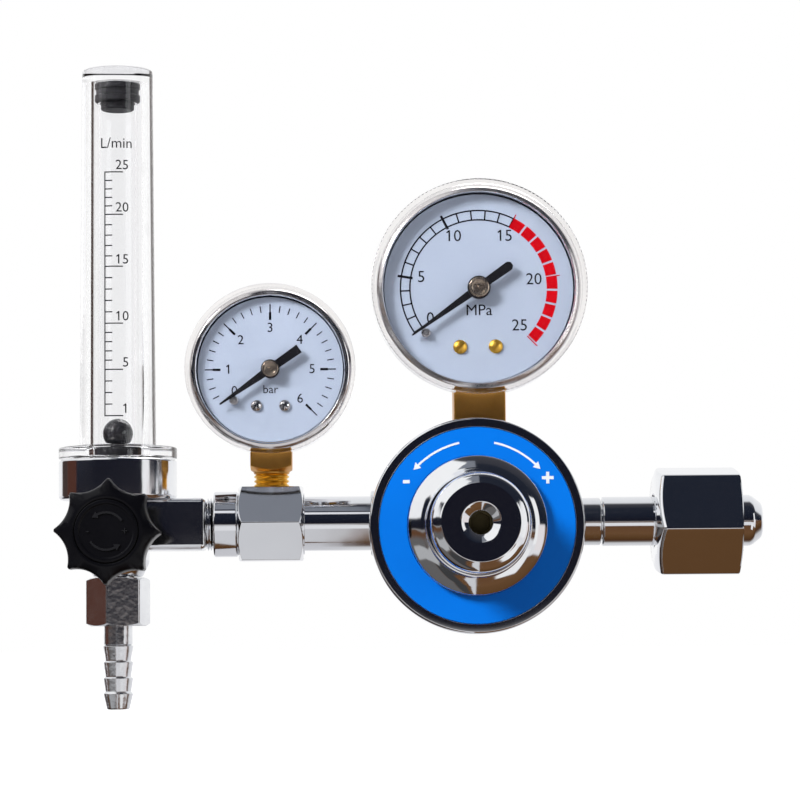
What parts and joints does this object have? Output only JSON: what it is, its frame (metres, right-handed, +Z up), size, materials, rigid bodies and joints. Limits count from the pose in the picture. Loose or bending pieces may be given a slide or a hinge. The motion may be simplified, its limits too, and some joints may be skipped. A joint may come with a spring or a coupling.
{
  "type": "gas pressure regulator with flowmeter",
  "caption": "Chrome-plated shielding gas regulator with contents and outlet gauges, upright clear flow tube, control knob, union nut inlet and hose barb outlet.",
  "frame": {"origin": "centre of the inlet nipple's tip, where the part seats in the cylinder valve", "axes": "+X along the gas path out of the inlet nipple, towards the cylinder; +Z up, along the flow tube; the gauges and the knob face -Y"},
  "size_m": [0.2102, 0.0663, 0.1918],
  "materials": {
    "chrome": "bright chrome plate on brass",
    "gauge_case": "plated steel case with a polished rim",
    "clear_plastic": "clear moulded plastic",
    "brass": "bare machined brass",
    "steel": "plain bright steel",
    "dial_face": "pale blue printed dial",
    "black_paint": "black painted pointer",
    "black_plastic": "black satin moulded plastic",
    "black_rubber": "black rubber",
    "blue_label": "blue printed label, satin gloss"
  },
  "bodies": {
    "main": {"barb_gasket": "black_rubber", "bonnet": "chrome", "contents_bourdon_tube": "brass", "contents_case": "gauge_case", "contents_cover": "clear_plastic", "contents_dial": "dial_face", "contents_dial_screw_1": "brass", "contents_dial_screw_2": "brass", "contents_link": "brass", "contents_movement": "brass", "contents_socket": "brass", "contents_stop_pin": "steel", "cover_gasket": "black_rubber", "diaphragm": "black_rubber", "flow_body": "chrome", "flow_cover": "clear_plastic", "gauge_tee": "chrome", "gland_nut": "chrome", "hose_barb": "chrome", "inlet_filter": "brass", "inlet_nipple": "chrome", "label_ring": "blue_label", "main_spring": "steel", "metering_tube": "clear_plastic", "outlet_nut": "chrome", "poppet_spring": "steel", "rear_plug": "chrome", "reg_body": "chrome", "stem_packing": "black_rubber", "tube_seat": "black_rubber", "tube_top_plug": "black_rubber", "valve_nozzle": "brass", "working_bourdon_tube": "brass", "working_case": "gauge_case", "working_cover": "clear_plastic", "working_dial": "dial_face", "working_dial_screw_1": "steel", "working_dial_screw_2": "steel", "working_link": "brass", "working_movement": "brass", "working_socket": "brass", "working_stop_pin": "steel"},
    "float": {"float_ball": "black_plastic"},
    "valve_stem": {"valve_stem": "steel"},
    "knob": {"knob": "black_plastic", "knob_cap": "black_plastic", "knob_screw": "steel"},
    "working_pointer": {"working_pointer": "brass", "working_pinion": "brass"},
    "working_sector": {"working_sector": "brass"},
    "contents_pointer": {"contents_pointer": "black_paint", "contents_pinion": "brass"},
    "contents_sector": {"contents_sector": "brass"},
    "inlet_nut": {"inlet_nut": "chrome"},
    "spring_button": {"spring_button": "steel"},
    "adjusting_screw": {"adjusting_screw": "steel"},
    "poppet": {"poppet": "brass", "diaphragm_plate": "steel"}
  },
  "joints": [
    {"name": "float_rise", "type": "slide", "parent": "main", "child": "float", "axis": [0, 0, 1], "range_m": [0, 0.0925]},
    {"name": "stem_travel", "type": "slide", "parent": "main", "child": "valve_stem", "axis": [0, -1, 0], "range_m": [0, 0.002]},
    {"name": "knob_turn", "type": "hinge", "parent": "valve_stem", "child": "knob", "pos_m": [-0.1925, 0, -0.0033], "axis": [0, -1, 0], "range_deg": [0, 720]},
    {"name": "working_pointer_turn", "type": "hinge", "parent": "main", "child": "working_pointer", "pos_m": [-0.1466, 0, 0.0456], "axis": [0, 1, 0], "range_deg": [0, 260], "stiffness_Nm_per_rad": 0.0001, "springref_deg": -28.65},
    {"name": "working_sector_turn", "type": "hinge", "parent": "main", "child": "working_sector", "pos_m": [-0.15139, 0, 0.03244], "axis": [0, 1, 0], "range_deg": [-43.4, 0]},
    {"name": "contents_pointer_turn", "type": "hinge", "parent": "main", "child": "contents_pointer", "pos_m": [-0.0844, 0, 0.0695], "axis": [0, 1, 0], "range_deg": [0, 260], "stiffness_Nm_per_rad": 0.0001, "springref_deg": -28.65},
    {"name": "contents_sector_turn", "type": "hinge", "parent": "main", "child": "contents_sector", "pos_m": [-0.08919, 0, 0.05634], "axis": [0, 1, 0], "range_deg": [-43.4, 0]},
    {"name": "inlet_nut_spin", "type": "hinge", "parent": "main", "child": "inlet_nut", "pos_m": [-0.0197, 0, 0], "axis": [1, 0, 0], "continuous": true},
    {"name": "button_travel", "type": "slide", "parent": "main", "child": "spring_button", "axis": [0, 1, 0], "range_m": [0, 0.00375], "deforming": ["main_spring"]},
    {"name": "adjusting_screw_turn", "type": "hinge", "parent": "spring_button", "child": "adjusting_screw", "pos_m": [-0.086, 0, -0.0016], "axis": [0, 1, 0], "range_deg": [0, 1080]},
    {"name": "poppet_lift", "type": "slide", "parent": "main", "child": "poppet", "axis": [0, 1, 0], "range_m": [0, 0.001], "stiffness_N_per_m": 600, "springref_m": -0.004, "deforming": ["diaphragm", "poppet_spring"]}
  ],
  "couplings": [
    {"joint": "stem_travel", "follows": "knob_turn", "m_per_rad": 0.00015915},
    {"joint": "working_sector_turn", "follows": "working_pointer_turn", "ratio": -0.16667},
    {"joint": "contents_sector_turn", "follows": "contents_pointer_turn", "ratio": -0.16667},
    {"joint": "button_travel", "follows": "adjusting_screw_turn", "m_per_rad": 0.00019894}
  ]
}
